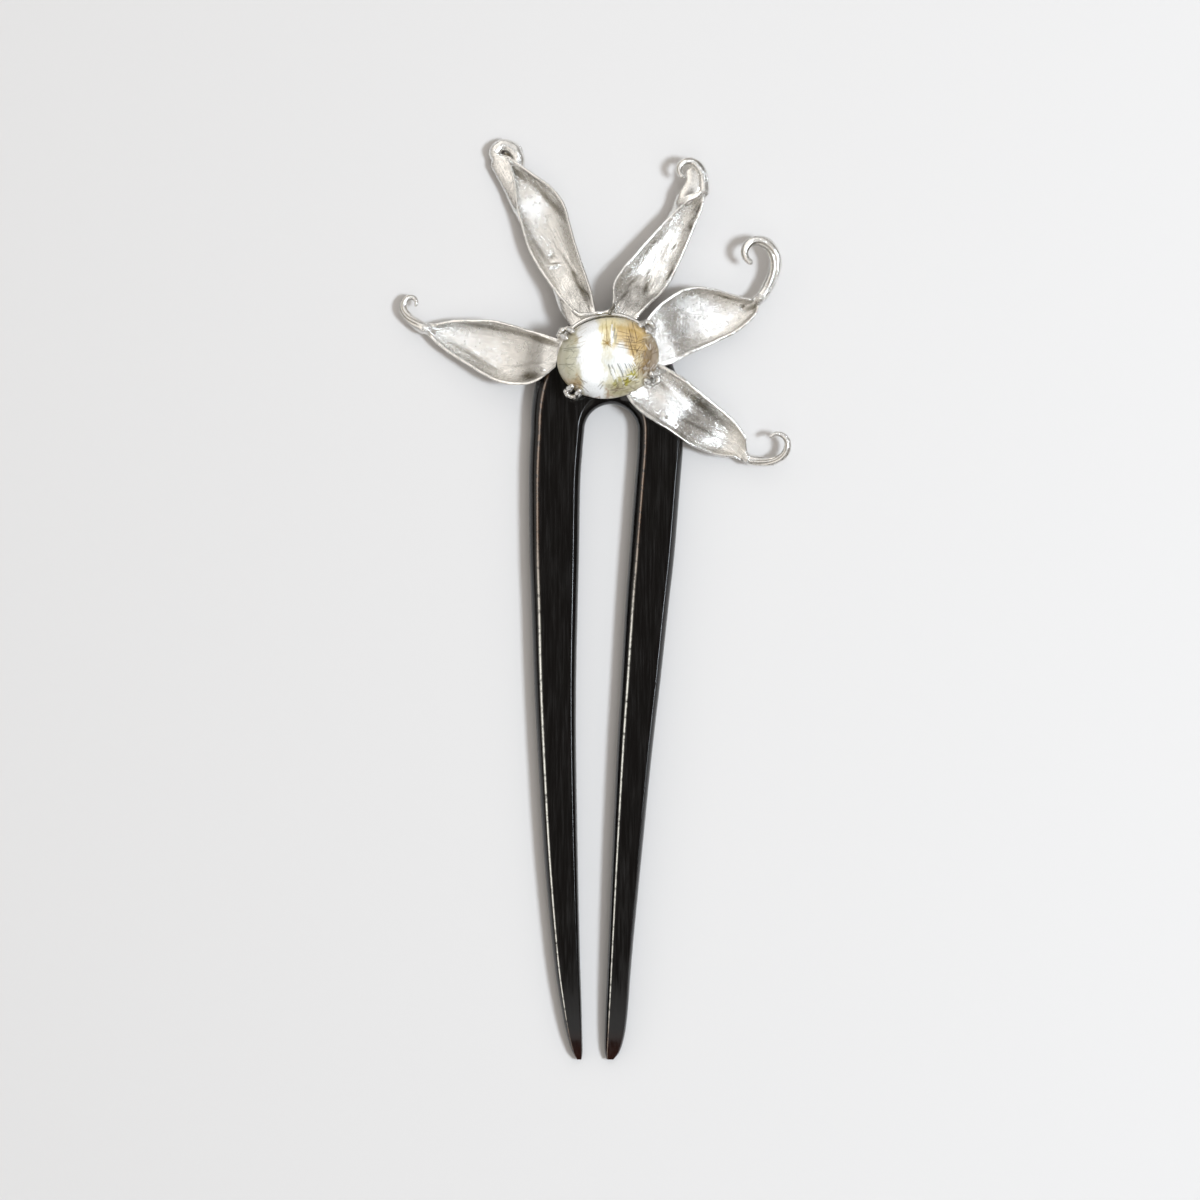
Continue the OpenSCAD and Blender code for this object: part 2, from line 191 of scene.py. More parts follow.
def waver(share, reach, steps, seed):
    # What a wire's radius is multiplied by on its way: 1 + share * ripple
    return 1 + share * ripple(np.linspace(0, reach, steps), 0, 2.0, seed)


def evenMarks(rings, **values):
    # Point attributes that are the same all over a piece
    return {mark: np.full(rings.shape[:2], value) for mark, value in values.items()}


def newMaterial(name):
    material = bpy.data.materials.new(name)
    material.use_nodes = True
    tree = material.node_tree
    return material, tree, tree.nodes["Principled BSDF"]


def setInputs(tree, node, inputs):
    # Sockets are linked to the node's inputs, and anything else becomes their value
    for key, value in inputs.items():
        if isinstance(value, bpy.types.NodeSocket):
            tree.links.new(value, node.inputs[key])
        else:
            node.inputs[key].default_value = value


def addNode(tree, kind, inputs=None, **settings):
    node = tree.nodes.new(kind)
    for key, value in settings.items():
        setattr(node, key, value)
    setInputs(tree, node, inputs or {})
    return node


def calc(tree, operation, a, b):
    return addNode(tree, "ShaderNodeMath", {0: a, 1: b}, operation=operation).outputs[0]


def readMark(tree, mark, output="Fac"):
    return addNode(tree, "ShaderNodeAttribute", attribute_name=mark).outputs[output]


def placeInMm(tree, lengthwise=1.0):
    # The object's own coordinates in mm; a pattern is drawn out along Y by 1 / lengthwise
    here = addNode(tree, "ShaderNodeTexCoord").outputs["Object"]
    scale = tuple(part / metresPerMm for part in (1.0, lengthwise, 1.0))
    return addNode(tree, "ShaderNodeVectorMath", {0: here, 1: scale}, operation="MULTIPLY").outputs[0]


def noise(tree, place, scale, detail=3.0, rough=0.55):
    inputs = {"Vector": place, "Scale": scale, "Detail": detail, "Roughness": rough}
    return addNode(tree, "ShaderNodeTexNoise", inputs).outputs["Fac"]


def ramp(tree, value, low, high, lowOut=0.0, highOut=1.0):
    # value between low and high taken to between lowOut and highOut, and kept there
    inputs = {"Value": value, "From Min": low, "From Max": high, "To Min": lowOut, "To Max": highOut}
    return addNode(tree, "ShaderNodeMapRange", inputs).outputs[0]


def mixColour(tree, share, a, b):
    # Counted from 0, the Mix node's colours are its inputs 6 and 7 and its output 2
    return addNode(tree, "ShaderNodeMix", {0: share, 6: a, 7: b}, data_type="RGBA").outputs[2]


def bump(tree, height, distanceMm):
    inputs = {"Height": height, "Distance": distanceMm * metresPerMm}
    return addNode(tree, "ShaderNodeBump", inputs).outputs[0]


# In the looks each Size is a noise scale, in waves for each mm, and each Mm a relief's height
silverLook = {
    "colour": (0.87, 0.857, 0.83, 1),
    # the colour of real tarnish, which also stands in for painted shade
    "tarnishAndShade": (0.17, 0.15, 0.11, 1),
    "cloudSize": 0.9,
    "cloudRange": (0.3, 0.7),
    "dullRange": (0.45, 0.8),
    "cloudShare": 0.22,
    "roughLow": 0.19,
    "roughHigh": 0.31,
    "grainSize": 7.0,
    "grainMm": 0.016,
    "lumpSize": 1.3,
    "lumpMm": 0.03,
    "streakSize": 3.0,
    "streakLengthwise": 0.12,
    "streakMm": 0.2,
    "streakRange": (0.52, 0.72),
    "streakShare": 0.2,
}


def makeSilver():
    # The marks say how dark a point is from real tarnish and from painted shade (the tarnish and shade
    # share), how rough (worked) and, on the pods, how far along and across it lies, for the streaks
    look = silverLook
    material, tree, shader = newMaterial("silver")
    here = placeInMm(tree)
    grain = noise(tree, here, look["grainSize"], 2.0)
    cloud = noise(tree, here, look["cloudSize"], 3.0, 0.6)
    lumps = noise(tree, here, look["lumpSize"], 2.0)
    far = calc(tree, "MULTIPLY", readMark(tree, "along"), look["streakLengthwise"])
    run = addNode(tree, "ShaderNodeCombineXYZ", {0: far, 1: readMark(tree, "across")}).outputs[0]
    streak = noise(tree, run, look["streakSize"], 4.0, 0.65)
    hollow = readMark(tree, "hollow")
    worked = readMark(tree, "worked")
    # Dark points mix towards the tarnish colour: tarnish in dents and furrows, and painted shade inside
    # rims, in the dark patches and in the hooded curl's slit
    dark = calc(tree, "MULTIPLY", hollow, ramp(tree, cloud, *look["cloudRange"], 0.7, 1.0))
    dark = calc(tree, "MAXIMUM", dark, ramp(tree, cloud, *look["dullRange"], 0.0, look["cloudShare"]))
    lines = ramp(tree, streak, *look["streakRange"], 0.0, look["streakShare"])
    dark = calc(tree, "MAXIMUM", dark, calc(tree, "MULTIPLY", lines, worked))
    relief = calc(tree, "MULTIPLY", grain, look["grainMm"])
    for pattern, height in ((lumps, look["lumpMm"]), (streak, look["streakMm"])):
        relief = calc(tree, "ADD", relief, calc(tree, "MULTIPLY", pattern, height))
    relief = calc(tree, "MULTIPLY", relief, worked)
    setInputs(tree, shader, {
        "Base Color": mixColour(tree, dark, look["colour"], look["tarnishAndShade"]),
        "Metallic": 1.0,
        "Roughness": ramp(tree, cloud, *look["cloudRange"], look["roughLow"], look["roughHigh"]),
        "Normal": bump(tree, relief, 1.0),
    })
    return material


silver = makeSilver()

# One dictionary for each pod, in mm and degrees from its base and along its heading. lumps and
# grooves are how high those are on the inner wall, and over the length of closing the shell turns
# into the tendril. rows hold, from the base to the far end: along, left rim, right rim, height
# of the left rim, height of the right rim, depth, left bulge, right bulge. tendril holds: side
# and height of its start, its end height, length, first heading, turn, how late it turns, and
# first, middle and end radius. seam says where the rims meet on the tendril, in degrees from its
# left side over its top, and how wide they are there. furrowsAt is where the tendril's furrows
# are round it, furrow their share of the usual depth, and wind how far they turn. hills are
# dents and ridges of the inner wall: along, side, half length, half width, turn, height. The
# stain table holds dark patches of it, partly real tarnish and partly painted shade where the
# bowl is dark from how the light falls, with how dark in place of the height. web fills the
# curl of a hooded tip: along, side, height, half width. The web's darkness is how dark it is;
# on the hooded upper left tip it is painted shade in the slit of the curl.
pods = {
    "left": {
        "base": (-7.6, 1.2), "heading": 168.7, "seed": 11, "lumps": 0.016, "grooves": 0.012,
        "closing": 2.4,
        "rows": [
            [0.2, 2.7, -1.9, 6.1, 6.2, 0.9, 0, 0],
            [2.6, 5.4, -2.2, 5.9, 5.9, 1.2, 0.2, 0.1],
            [5.4, 6.45, -2.4, 5.1, 5.3, 2.9, 0.4, 0.3],
            [8.4, 6.65, -2.7, 4.4, 4.8, 3.5, 0.4, 0.5],
            [11.2, 5.95, -2.85, 3.9, 4.4, 3.3, 0.4, 0.6],
            [14.4, 4.75, -2.4, 3.4, 3.8, 2.9, 0.3, 0.4],
            [17.6, 3.5, -1.75, 3.0, 3.2, 2.2, 0.2, 0.2],
            [20.2, 2.2, -0.8, 2.7, 2.8, 1.5, 0.1, 0],
            [22.2, 1.3, -0.3, 2.6, 2.7, 1.1, 0, 0],
        ],
        "tendril": [0.4, 2.0, 2.0, 9.0, -21, -310, 2.6, 0.95, 0.66, 0.25],
        "hills": [
            [4.7, 3.35, 3.4, 0.3, 17, 0.4],
            [3.9, 4.7, 1.8, 0.8, 12, -0.25],
            [2.1, 3.4, 0.35, 0.3, 0, 0.3],
            [21.2, 0.8, 0.5, 1.6, 60, 0.3],
        ],
        # dark patches: partly real tarnish, partly painted shade
        "stainsAndShade": [
            [2.8, -1.3, 2.4, 0.6, -8, 1.0],
            [12, -1.9, 7.5, 0.4, 0, 0.6],
            [13.5, 3.4, 6.0, 0.55, -21, 0.6],
            [3.9, 4.8, 1.8, 0.8, 12, 0.85],
            [22.5, 0.6, 0.8, 0.5, 0, 0.9],
        ],
    },
    "upper_left": {
        "base": (-2.85, 6.6), "heading": 117, "seed": 12, "lumps": 0.018, "grooves": 0.012,
        "closing": 1.3, "seam": (130, 40), "furrow": 0,
        "rows": [
            [-1.6, 1.1, -1.0, 6.5, 6.6, 1.0, 5.0, 0],
            [0.6, 1.5, -1.3, 6.3, 6.6, 1.4, 5.4, 0.2],
            [3.6, 2.3, -2.1, 5.7, 6.1, 2.4, 4.6, 0.4],
            [7.2, 3.15, -2.65, 4.7, 5.5, 3.4, 1.2, 0.4],
            [10.8, 3.65, -3.2, 4.0, 5.0, 3.5, 0.5, 0.4],
            [14.4, 3.7, -3.9, 3.5, 4.7, 3.2, 0.5, 0.4],
            [18, 3.0, -4.6, 3.3, 4.4, 3.0, 1.4, 0.3],
            [21.4, 2.1, -4.05, 3.1, 4.0, 2.4, 4.0, 0.2],
            [24.8, 0.8, -2.35, 2.9, 3.6, 2.1, 6.0, 0.2],
            [27, 0.35, -1.2, 2.9, 3.3, 1.9, 6.4, 0.2],
            [28.6, 0.2, -0.4, 2.9, 3.1, 1.8, 6.3, 0.2],
            [30, 0.2, 0.05, 2.8, 2.8, 1.7, 6.0, 0.2],
        ],
        "tendril": [1.45, 1.7, 1.25, 7.8, 16, -262, 0.58, 1.0, 1.05, 1.2],
        "web": [
            [27.6, -0.2, 1.1, 0.8],
            [28.8, -0.4, 1.0, 0.9],
            [30, -0.5, 1.1, 0.7],
        ],
        # this web is painted fully dark: painted shade in the slit of the hooded curl
        "webTarnishAndShade": 1.0,
        "hills": [
            [11.6, 0.9, 0.55, 0.45, 0, -0.3],
            [10.2, 1.3, 0.9, 0.3, 75, 0.28],
            [9.8, -1.35, 3.0, 0.35, 8, 0.3],
            [5.0, -0.7, 4.0, 0.3, 12, -0.18],
            [4.4, -1.9, 0.7, 0.4, 0, 0.25],
            [2.5, -1.3, 0.6, 0.4, 0, 0.25],
            [1.0, -0.9, 0.6, 0.4, 0, 0.2],
            [9.4, -2.3, 0.9, 0.5, 10, 0.35],
        ],
        # dark patches: partly real tarnish, partly painted shade
        "stainsAndShade": [
            [20, -2.9, 5.2, 0.6, 16, 0.75],
            [25.6, -0.5, 1.6, 0.5, 20, 1.0],
            [13.5, 2.3, 3.2, 0.45, 5, 0.55],
            [7.5, -1.2, 0.7, 0.3, 0, 0.9],
            [4.6, -0.9, 2.8, 0.4, 0, 0.85],
            [3.5, -1.6, 2.2, 0.2, 0, 0.7],
            [10.4, 0.9, 1.0, 0.15, 70, 0.8],
        ],
    },
    "upper": {
        "base": (3.2, 7.2), "heading": 56.7, "seed": 13, "lumps": 0.05, "grooves": 0.014,
        "closing": 2.8, "seam": (95, 50), "furrowsAt": (122,), "wind": 0,
        "rows": [
            [-1.6, 2.2, -1.6, 6.5, 6.5, 1.0, 0, 0],
            [0.6, 3.3, -1.75, 6.3, 6.3, 1.4, 0.2, 0.2],
            [2.8, 4.55, -2.0, 5.7, 5.7, 2.2, 0.3, 0.3],
            [5.6, 4.7, -2.65, 5.0, 4.9, 3.0, 0.4, 0.4],
            [8.4, 4.35, -2.75, 4.5, 4.4, 3.1, 0.4, 0.3],
            [11.4, 3.95, -2.35, 4.2, 4.1, 3.0, 0.4, 0.3],
            [14.4, 3.45, -1.85, 4.0, 4.0, 2.8, 0.6, 0.3],
            [17.2, 2.75, -1.3, 4.0, 4.0, 2.6, 2.4, 0.2],
            [20, 2.0, -0.8, 4.1, 4.0, 2.3, 5.2, 0.2],
            [21.8, 1.25, -0.55, 4.2, 4.1, 2.2, 7.0, 0.1],
            [22.9, 0.75, -0.2, 4.2, 4.1, 2.2, 6.6, 0.1],
        ],
        "tendril": [0.65, 3.3, 4.2, 10, 31, 275, 2.05, 0.92, 0.68, 0.45],
        "web": [
            [19.8, 2.6, 3.3, 0.9],
            [21.2, 2.5, 3.5, 1.35],
            [22.8, 2.6, 3.5, 1.45],
            [24.9, 4.4, 3.1, 1.15],
        ],
        "hills": [
            [5.6, -0.1, 1.2, 0.5, 20, -0.35],
            [8.7, -2.0, 1.2, 0.5, 0, -0.3],
            [7.0, -1.0, 2.2, 0.4, 10, 0.3],
            [17.1, -1.1, 0.6, 0.4, 60, -0.3],
            [12.5, 0.3, 2.5, 0.5, 5, 0.22],
        ],
        # dark patches: partly real tarnish, partly painted shade
        "stainsAndShade": [
            [10, 3.2, 6.5, 0.35, -7, 0.5],
            [5.6, 0.0, 1.4, 0.3, 12, 1.0],
            [9, -2.2, 1.4, 0.35, 0, 1.0],
            [17, -1.1, 0.8, 0.4, 60, 1.0],
            [13.1, -0.3, 0.6, 0.25, 0, 0.8],
            [20.8, -0.5, 1.4, 0.3, 0, 0.9],
            [2.2, 2.2, 1.4, 0.2, -10, 0.7],
            [4.6, 2.4, 1.3, 0.25, -10, 0.7],
            [7.4, 1.0, 1.2, 0.15, 10, 0.7],
        ],
    },
    "right": {
        "base": (7.95, 2.3), "heading": 25, "seed": 14, "lumps": 0.018, "grooves": 0.006,
        "closing": 2.0,
        "rows": [
            [-1.4, 3.6, -3.5, 6.5, 6.4, 1.0, 0, 0],
            [0.6, 4.7, -3.75, 6.3, 6.1, 1.3, 0.2, 0.1],
            [2.4, 5.5, -3.65, 6.0, 5.7, 1.5, 0.3, 0.2],
            [4.8, 6.05, -3.5, 5.5, 4.9, 2.4, 0.5, 0.3],
            [7.2, 6.25, -3.5, 5.1, 4.3, 2.9, 0.6, 0.4],
            [9.6, 5.7, -3.5, 4.7, 3.9, 2.9, 0.5, 0.4],
            [12, 4.2, -3.45, 4.3, 3.7, 2.7, 0.3, 0.4],
            [14.4, 2.15, -2.95, 4.0, 3.6, 2.3, 0.2, 0.3],
            [16.4, 0.6, -2.1, 3.8, 3.6, 1.8, 0.1, 0.3],
            [18.2, 0.35, -0.8, 3.8, 3.6, 1.4, 0, 0.1],
        ],
        "tendril": [0.0, 2.9, 4.2, 16.5, 33, 310, 2.1, 0.9, 0.98, 0.45],
        "hills": [
            [14.9, 0.0, 0.4, 0.4, 0, -0.2],
            [5.0, 1.2, 1.6, 1.0, 20, 0.16],
            [9.0, -1.2, 2.0, 0.9, -10, 0.14],
        ],
        # dark patches: partly real tarnish, partly painted shade
        "stainsAndShade": [
            [16.5, -0.95, 1.7, 0.6, -10, 0.9],
            [14.9, 0.0, 0.35, 0.25, 0, 1.0],
            [13.3, 2.4, 2.4, 0.25, -40, 0.7],
            [3.6, 0.6, 1.3, 0.9, 0, 0.25],
        ],
    },
    "lower_right": {
        "base": (5.9, -4.05), "heading": -34.3, "seed": 15, "lumps": 0.018, "grooves": 0.014,
        "closing": 2.4,
        "rows": [
            [-1.4, 3.6, -3.3, 6.6, 6.6, 1.1, 0, 0],
            [0.4, 3.95, -3.85, 6.9, 6.7, 1.7, 0.1, 0.1],
            [2.6, 4.2, -4.1, 7.1, 6.8, 2.1, 0.1, 0.1],
            [5.2, 4.2, -4.05, 6.9, 6.6, 2.15, 0.2, 0.1],
            [7.8, 3.95, -3.95, 6.4, 5.9, 2.1, 0.3, 0.1],
            [10.4, 3.75, -3.95, 5.7, 4.9, 2.5, 0.3, 0.2],
            [13, 3.55, -3.55, 5.0, 4.0, 2.9, 0.3, 0.3],
            [15.6, 3.15, -2.85, 4.4, 3.4, 2.9, 0.2, 0.3],
            [18.2, 2.1, -1.55, 3.9, 3.1, 2.3, 0.1, 0.2],
            [20.2, 0.6, -1.0, 3.5, 3.0, 1.6, 0, 0.1],
        ],
        "tendril": [-0.5, 2.4, 3.8, 11.9, 23, 265, 2.05, 0.8, 0.66, 0.3],
        "hills": [
            [5.4, -2.5, 0.35, 0.3, 0, 0.28],
            [5.8, 0.2, 4.6, 0.5, 4, 0.35],
            [18.6, 0.0, 0.8, 0.8, 0, 0.2],
        ],
        # dark patches: partly real tarnish, partly painted shade
        "stainsAndShade": [
            [8.6, 2.6, 5.4, 0.7, -5, 0.8],
            [11, -0.7, 5.0, 0.35, 9, 0.6],
            [2.2, 1.6, 1.4, 0.5, -15, 0.5],
            [20.2, -0.1, 0.7, 0.4, 60, 0.9],
        ],
    },
}

# What all pods share, in mm and degrees. plainRim is how wide the plain strip along a rim is,
# shadeAt and shadeWidth place the line of painted shade just inside it, straightShare is how much
# of a tendril's way is gone before it turns, and innerStreaks and podStreaks keep the streaks from
# repeating.
podShape = {
    "keelWall": 0.8,
    "rimWall": 0.4,
    "rimRadius": 0.22,
    "rimRoll": 0.05,
    "rollWidth": 0.22,
    "rimWaver": 0.012,
    "rimReach": 0.1,
    "rimWaves": (1.9, 1.6),
    "plainRim": 0.9,
    # the next two fade and scale the dark patches, which are partly real tarnish and partly painted
    # shade
    "stainShadeRim": 0.5,
    "stainShadeShare": 1.4,
    "dentTarnish": 2.2,
    "dentsBehind": 0.7,
    "grooveReach": 6.0,
    # the next three place and weigh a line of painted shade just inside each rim
    "shadeAt": 0.7,
    "shadeWidth": 0.2,
    "shadeShare": 0.45,
    "backWorked": 0.3,
    "innerStreaks": 9,
    "podStreaks": 40,
    "sideSteps": 72,
    "podStep": 0.09,
    "plainSeam": (90, 180),
    "straightShare": 1 / 36,
    "tendrilStep": 0.1,
    "tendrilLumps": 0.03,
    "tendrilWorked": 0.35,
    "tendrilGroove": 0.12,
    "tendrilWind": 120,
    "tendrilFurrows": (-310, -265, -225, -120),
    "furrowWidth": 13,
    "furrowTarnish": 0.8,
    "webFlat": 0.24,
    "webReach": 0.8,
    "webTarnishAndShade": 0.15,
    "webWorked": 0.5,
}

# The waves of a pod's walls: height, in mm or as a share of the pod's own value, how much the way
# along the pod counts, size in mm, and what is added to the pod's seed
podWaves = {
    "lumps": (1.0, 0.3, 2.0, 7),
    "smallLumps": (0.4, 0.3, 0.9, 8),
    "grooves": (1.0, 0.12, 0.75, 9),
    "grain": (0.0016, 0.4, 0.4, 10),
    "back": (0.006, 1.0, 0.9, 11),
}


def wallCurve(row, share, rim, wall):
    # The point (1-s)^3 p0 + 3 (1-s)^2 s p1 + 3 (1-s) s^2 p2 + s^3 p3 of a wall, as side and height
    left, right, leftHeight, rightHeight, depth, leftBulge, rightBulge = row[:, 1:].T[:, :, None]
    drop = 4 / 3 * (depth - wall)
    sides = (left - rim, left + leftBulge - wall, right - rightBulge + wall, right + rim)
    ups = (leftHeight, leftHeight - drop, rightHeight - drop, rightHeight)
    s, t = share[None, :], 1 - share[None, :]
    weights = (t**3, 3 * t * t * s, 3 * t * s * s, s**3)
    return np.stack([sum(w * p for w, p in zip(weights, c)) for c in (sides, ups)], axis=-1)


def middleWall(pod, row, share):
    # The mean of the outer and the inner face, with ripples of height exp(-(gap / reach)^2) by
    # each rim. It comes with the way inward, square to it, and the distance from the nearer rim.
    shape = podShape
    outer = wallCurve(row, share, 0, 0)
    middle = (outer + wallCurve(row, share, shape["rimWall"], shape["keelWall"])) / 2
    for k, gap in enumerate((share, 1 - share)):
        seed = pod["seed"] + 50 * k
        near = shape["rimWaver"] * np.exp(-((gap / shape["rimReach"]) ** 2))[None, :, None]
        waves = [ripple(row[:, :1], 0, size, seed + 90 * n) for n, size in enumerate(shape["rimWaves"])]
        middle = middle + near * np.stack(waves, -1)
    step = np.gradient(middle, axis=1)
    ahead = unit(step)
    inward = np.stack([ahead[..., 1], -ahead[..., 0]], -1)
    inward *= np.sign(inward[:, len(share) // 2, 1])[:, None, None]
    gone = np.cumsum(np.linalg.norm(step, axis=2), axis=1)
    gone -= gone[:, :1]
    return middle, inward, np.minimum(gone, gone[:, -1:] - gone)


def makeShell(pod, row, share):
    # The sections of the open shell, middle -+ inward * (half the wall + waves), and its marks.
    # Half the wall ends in a quarter circle and swells by exp(-((gap - radius) / width)^2).
    shape = podShape
    middle, inward, rimGap = middleWall(pod, row, share)
    wall = mix(shape["rimWall"], shape["keelWall"], 4 * share * (1 - share))[None, :]
    roll = shape["rimRoll"] * np.exp(-((rimGap - shape["rimRadius"]) / shape["rollWidth"]) ** 2)
    halfWall = (wall / 2 + roll) * quarterCircle(rimGap / shape["rimRadius"])
    along, across = row[:, :1] + 0 * rimGap, middle[..., 0]
    waves = {}
    for name, (height, stretch, size, seed) in podWaves.items():
        waves[name] = height * ripple(along * stretch, across, size, pod["seed"] + seed)
    fade = eased(rimGap / shape["plainRim"])
    dents = pod["lumps"] * (waves["lumps"] + waves["smallLumps"]) + hills(along, across, pod["hills"])
    grooves = pod["grooves"] * waves["grooves"] * np.exp(-((along / shape["grooveReach"]) ** 2))
    inner = middle + inward * (halfWall + fade * (dents + grooves + waves["grain"]))[..., None]
    behind = shape["dentsBehind"] * dents + waves["back"]
    outer = middle - inward * (halfWall - fade * behind)[..., None]
    # the dark patches: partly real tarnish, partly painted shade
    stainsAndShade = np.clip(shape["stainShadeShare"] * hills(along, across, pod["stainsAndShade"]), 0, 1)
    # a line of painted shade just inside each rim, where the rim shades the wall
    shade = np.exp(-(((rimGap - shape["shadeAt"]) / shape["shadeWidth"]) ** 2))
    hollow = np.clip(-(dents + grooves) * shape["dentTarnish"], 0, 1) * fade
    hollow = np.maximum(hollow, shape["shadeShare"] * shade)
    hollow = np.maximum(hollow, stainsAndShade * eased(rimGap / shape["stainShadeRim"]))
    marks = {
        "hollow": np.hstack([0 * hollow, hollow[:, ::-1]]),
        "along": np.hstack([along, along]),
        "across": np.hstack([across, shape["innerStreaks"] + across[:, ::-1]]),
        "worked": np.hstack([shape["backWorked"] * fade, fade[:, ::-1]]),
    }
    return np.concatenate([outer, inner[:, ::-1]], axis=1), marks


def makeTendril(pod, share):
    # Round sections on a curve that turns by turn * share^late on its way, with furrows
    # exp(-(angle / width)^2) that wind slowly round it. They come with the first section and
    # the marks. The places round a section run as round the shell, so the rims meet at the seam.
    shape = podShape
    heading, podEnd = pod["heading"], pod["rows"][-1][0]
    side, startHeight, endHeight, reach, first, turn, late, r0, r1, r2 = pod["tendril"]
    count = int(reach / shape["tendrilStep"])
    go = (np.arange(count) + 1) / count
    facing = heading + first + turn * np.clip(go - shape["straightShare"], 0, 1) ** late
    start = pod["base"] + towards(heading) * podEnd + towards(heading + 90) * side
    spots = start + np.cumsum(towards(facing) * reach / count, axis=0)
    height = mix(startHeight, endHeight, eased(go))
    radius = np.where(go < 0.5, mix(r0, r1, 2 * go), mix(r1, r2, 2 * go - 1))
    radius = radius * quarterCircle((1 - go) * reach / r2, 1e-3)

    plain = np.array(shape["plainSeam"])
    seam = mix(pod.get("seam", plain), plain, np.clip(2 * go - 2 / count, 0, 1)[:, None])
    seamAt, seamWide = seam[:, :1], seam[:, 1:]
    under = (360 - seamWide) * share
    over = (360 - seamWide) + seamWide * (1 - share[::-1])
    degrees = seamAt - seamWide / 2 - np.concatenate([under, over], axis=1)
    angle = np.radians(degrees)
    circle = towards(degrees)

    lumps = 1 + shape["tendrilLumps"] * ripple(go[:, None] * reach * 0.5, angle, 1.4, pod["seed"] + 20)
    wound = degrees + pod.get("wind", shape["tendrilWind"]) * go[:, None]
    furrows = 0 * degrees
    for at in pod.get("furrowsAt", shape["tendrilFurrows"]):
        furrows += np.exp(-((((wound - at + 180) % 360 - 180) / shape["furrowWidth"]) ** 2))
    furrows *= (pod.get("furrow", 1) * eased(6 * go) * eased(5 * (1 - go)))[:, None]
    body = circle * (radius[:, None] * (lumps - shape["tendrilGroove"] * furrows))[..., None]
    flat = spots[:, None] + towards(facing + 90)[:, None] * body[..., :1]
    rings = np.concatenate([flat, height[:, None, None] + body[..., 1:]], axis=-1)
    marks = {
        "hollow": shape["furrowTarnish"] * furrows,
        "along": podEnd + reach * go[:, None] + 0 * furrows,
        "across": radius[:, None] * angle,
        "worked": shape["tendrilWorked"] + 0 * furrows,
    }
    return rings, [side, startHeight] + circle[0] * r0, marks


def makePod(name, pod):
    # The shell, which closes to the tendril's first section at its end, and the tendril
    shape = podShape
    rows = np.array(pod["rows"], float)
    row = smoothPath(rows, int((rows[-1, 0] - rows[0, 0]) / shape["podStep"]))
    share = (1 - np.cos(np.linspace(0, np.pi, shape["sideSteps"]))) / 2
    shell, shellMarks = makeShell(pod, row, share)
    tendril, firstSection, tendrilMarks = makeTendril(pod, share)
    closing = eased(1 - (rows[-1, 0] - row[:, 0]) / pod["closing"])[:, None, None]
    section = mix(shell, firstSection, closing)
    spine = pod["base"] + towards(pod["heading"]) * row[:, :1]
    flat = spine[:, None] + towards(pod["heading"] + 90) * section[..., :1]
    rings = np.concatenate([np.concatenate([flat, section[..., 1:]], axis=-1), tendril])
    shellMarks["hollow"] *= 1 - closing[..., 0]
    marks = {mark: np.concatenate([shellMarks[mark], tendrilMarks[mark]]) for mark in shellMarks}
    marks["along"] += shape["podStreaks"] * pod["seed"]
    return makeSkin("pod_" + name, rings, silver, marks)


def makeWeb(name, pod):
    # The wall inside a hooded curl: a flattened tube with round ends, through a few points. Its
    # path is drawn out from its middle by a share of the radius.
    shape = podShape
    heading = pod["heading"]
    path = smoothPath(pod["web"], 60)
    flat = pod["base"] + path[:, :1] * towards(heading) + path[:, 1:2] * towards(heading + 90)
    radius = path[:, 3]
    flat = flat + (flat - flat[::-1]) / wayGone(flat)[-1] * radius[:, None] * shape["webReach"]
    gone = wayGone(flat)
    radius = radius * quarterCircle(np.minimum(gone, gone[-1] - gone) / radius, 1e-3)
    rings = tubeRings(np.hstack([flat, path[:, 2:3]]), radius, 40, shape["webFlat"])
    # how dark the web is: on the hooded tip, painted shade in the slit of the curl
    tarnishAndShade = pod.get("webTarnishAndShade", shape["webTarnishAndShade"])
    marks = evenMarks(rings, hollow=tarnishAndShade, worked=shape["webWorked"])
    return makeSkin("web_" + name, rings, silver, marks)


silverPieces = [makePod(name, pod) for name, pod in pods.items()]
silverPieces += [makeWeb(name, pod) for name, pod in pods.items() if "web" in pod]
print("pods made")

stoneSize = {
    "halfLength": 8.1,
    "halfWidth": 6.4,
    "dome": 4.7,
    "turn": 8,
    "girdleCurve": 0.1,
    "aroundSteps": 450,
    "riseSteps": 190,
    "girdleSteps": 14,
    "topRise": 89.5,
}


def turned(points, degrees):
    # Points turned about the Z axis
    c, s = towards(degrees)
    x, y = points[..., 0], points[..., 1]
    return np.stack([x * c - y * s, x * s + y * c, points[..., 2]], -1)


def domePoint(angle, rise, lift=0.0):
    # The point (a cos A cos R, b sin A cos R, c sin R) of the dome, lifted along its normal
    size = stoneSize
    a, b, c = size["halfLength"], size["halfWidth"], size["dome"]
    angle, rise = np.radians(angle), np.radians(rise)
    level = np.cos(rise)
    on = joined(a * np.cos(angle) * level, b * np.sin(angle) * level, c * np.sin(rise))
    out = unit(on / np.array([a * a, b * b, c * c]))
    return on + out * lift + [0, 0, heights["girdle"]]


# Warps hold how far the zones' edges waver, in mm, the size of their waves and a seed
quartzLook = {
    "colour": (0.72, 0.66, 0.46),
    "shade": 0.92,
    "warps": ((0.27, 2.4, 31), (0.1, 0.6, 35)),
    "needleSeed": 33,
    "streakColour": (0.2, 0.14, 0.07, 1),
    "streakShare": 0.2,
    "streakSize": 5.0,
    "streakRange": (0.5, 0.75),
    "streakLengthwise": 0.12,
    # the polish is a coat, so what lies under it is dull
    "shader": {
        "Roughness": 0.4,
        "Specular IOR Level": 0.0,
        "Coat Weight": 1.0,
        "Coat Roughness": 0.16,
        "Coat IOR": 1.9,
    },
}
